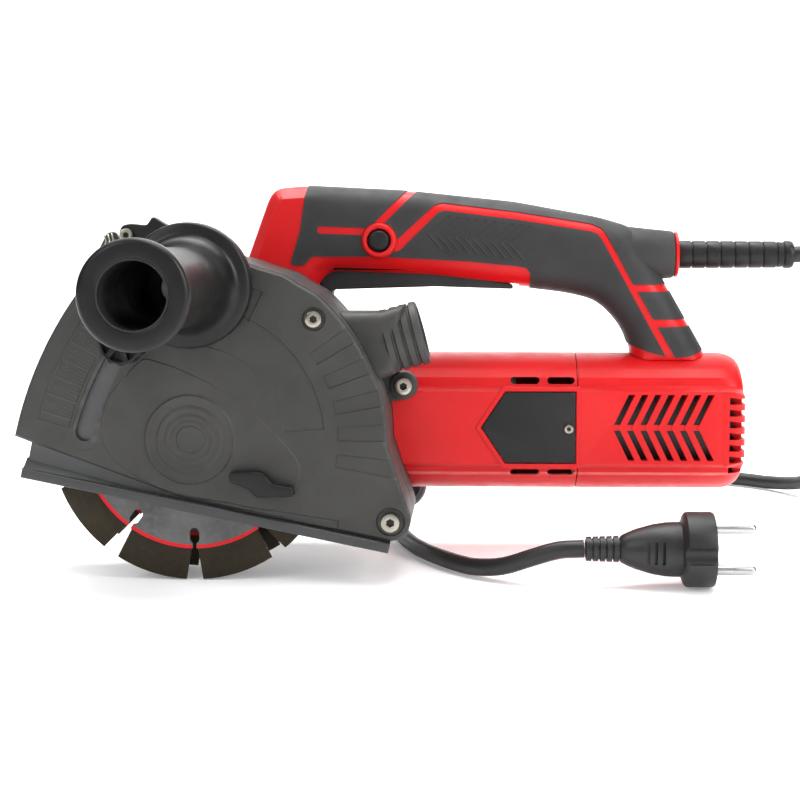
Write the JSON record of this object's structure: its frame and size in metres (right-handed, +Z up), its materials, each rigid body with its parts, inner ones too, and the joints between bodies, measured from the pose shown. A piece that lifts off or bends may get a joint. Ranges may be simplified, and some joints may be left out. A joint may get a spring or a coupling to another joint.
{
  "type": "wall chaser",
  "caption": "Hand-held wall chaser with segmented diamond blades in a dust-extraction guard, a swinging depth shoe, a side-mounted front handle and a coiled mains cord.",
  "frame": {"origin": "centre of the footprint of the machine without its free cord, at the level that the blades stand on", "axes": "+X from the blades to the cord end of the motor, +Y from the guard cover to the gear case, +Z up"},
  "size_m": [0.4217, 0.4188, 0.1836],
  "materials": {
    "red_plastic": "satin",
    "grip_rubber": "matte",
    "guard_coat": "fine grain, matte",
    "sole_steel": "satin",
    "black_plastic": "satin",
    "gear_case_alloy": "cast",
    "plain_steel": "machined",
    "nickel_screw": "nickel",
    "blade_steel": "ground",
    "copper": "turned",
    "brass": "drawn",
    "carbon": "matte",
    "lamination": "laminated",
    "cord_rubber": "matte"
  },
  "bodies": {
    "root": {"motor_housing": "red_plastic", "rear_cover": "red_plastic", "handle_near": "red_plastic", "handle_far": "red_plastic", "gland_ring": "red_plastic", "grip_pad_near": "grip_rubber", "grip_pad_far": "grip_rubber", "aux_handle": "grip_rubber", "outer_cover": "guard_coat", "rear_guard": "guard_coat", "dust_port": "guard_coat", "brush_cover_near": "black_plastic", "brush_cover_far": "black_plastic", "power_switch": "black_plastic", "soft_start_module": "black_plastic", "bearing_bracket": "black_plastic", "gear_case": "gear_case_alloy", "front_bearing": "plain_steel", "rear_bearing": "plain_steel", "spindle_bearing": "plain_steel", "spindle_tail_bearing": "plain_steel", "aux_handle_bolt": "plain_steel", "pivot_bolt": "nickel_screw", "cover_screw": "nickel_screw", "lug_screw": "nickel_screw", "lever_screw": "nickel_screw", "handle_screw_1": "nickel_screw", "handle_screw_2": "nickel_screw", "brush_cover_screw_near": "nickel_screw", "brush_cover_screw_far": "nickel_screw", "lever_spring": "nickel_screw", "brush_holder_near": "brass", "brush_holder_far": "brass", "carbon_brush_near": "carbon", "carbon_brush_far": "carbon", "stator": "lamination", "cord_run": "cord_rubber", "cord_lead": "cord_rubber", "cord_coil": "cord_rubber", "plug_body": "cord_rubber", "strain_relief": "cord_rubber"},
    "spindle": {"spindle": "plain_steel", "driven_gear": "plain_steel", "inner_flange": "plain_steel", "outer_flange": "plain_steel", "blade_spacer": "plain_steel", "blade_near": "blade_steel", "blade_far": "blade_steel"},
    "armature": {"armature_shaft": "plain_steel", "drive_pinion": "plain_steel", "armature_core": "lamination", "commutator": "copper", "cooling_fan": "black_plastic"},
    "shoe": {"shoe": "sole_steel"},
    "depth_knob": {"depth_knob": "black_plastic"},
    "roller": {"support_roller": "black_plastic"},
    "trigger": {"trigger": "black_plastic"},
    "lock_button": {"lock_button": "black_plastic"},
    "cover_latch": {"cover_latch": "black_plastic"},
    "release_lever": {"release_lever": "black_plastic"}
  },
  "joints": [
    {"name": "spindle_spin", "type": "hinge", "parent": "root", "child": "spindle", "pos_m": [-0.10419, 0.04195, 0.0664], "axis": [0, 1, 0], "continuous": true},
    {"name": "armature_spin", "type": "hinge", "parent": "root", "child": "armature", "pos_m": [-0.00419, 0.08195, 0.0664], "axis": [1, 0, 0], "continuous": true},
    {"name": "shoe_swing", "type": "hinge", "parent": "root", "child": "shoe", "pos_m": [-0.01269, 0.03195, 0.0289], "axis": [0, 1, 0], "range_deg": [-18.6, 0]},
    {"name": "depth_knob_turn", "type": "hinge", "parent": "shoe", "child": "depth_knob", "pos_m": [-0.1326, 0.00195, 0.11131], "axis": [0, -1, 0], "range_deg": [0, 270]},
    {"name": "roller_spin", "type": "hinge", "parent": "root", "child": "roller", "pos_m": [-0.01269, 0.11045, 0.0289], "axis": [0, 1, 0], "continuous": true},
    {"name": "trigger_pull", "type": "hinge", "parent": "root", "child": "trigger", "pos_m": [-0.04899, 0.08195, 0.1439], "axis": [0, -1, 0], "range_deg": [0, 2.6], "stiffness_Nm_per_rad": 4, "springref_deg": -2.86},
    {"name": "lock_button_press", "type": "slide", "parent": "root", "child": "lock_button", "axis": [0, 1, 0], "range_m": [0, 0.003], "stiffness_N_per_m": 400, "springref_m": -0.002},
    {"name": "cover_latch_turn", "type": "hinge", "parent": "root", "child": "cover_latch", "pos_m": [-0.07059, 0.00195, 0.0468], "axis": [0, 1, 0], "range_deg": [-90, 0]},
    {"name": "release_lever_press", "type": "hinge", "parent": "root", "child": "release_lever", "pos_m": [-0.13429, 0.01395, 0.1592], "axis": [0, 1, 0], "range_deg": [0, 8], "stiffness_Nm_per_rad": 0.5, "springref_deg": -8.59}
  ],
  "couplings": [
    {"joint": "armature_spin", "follows": "spindle_spin", "ratio": 3}
  ]
}
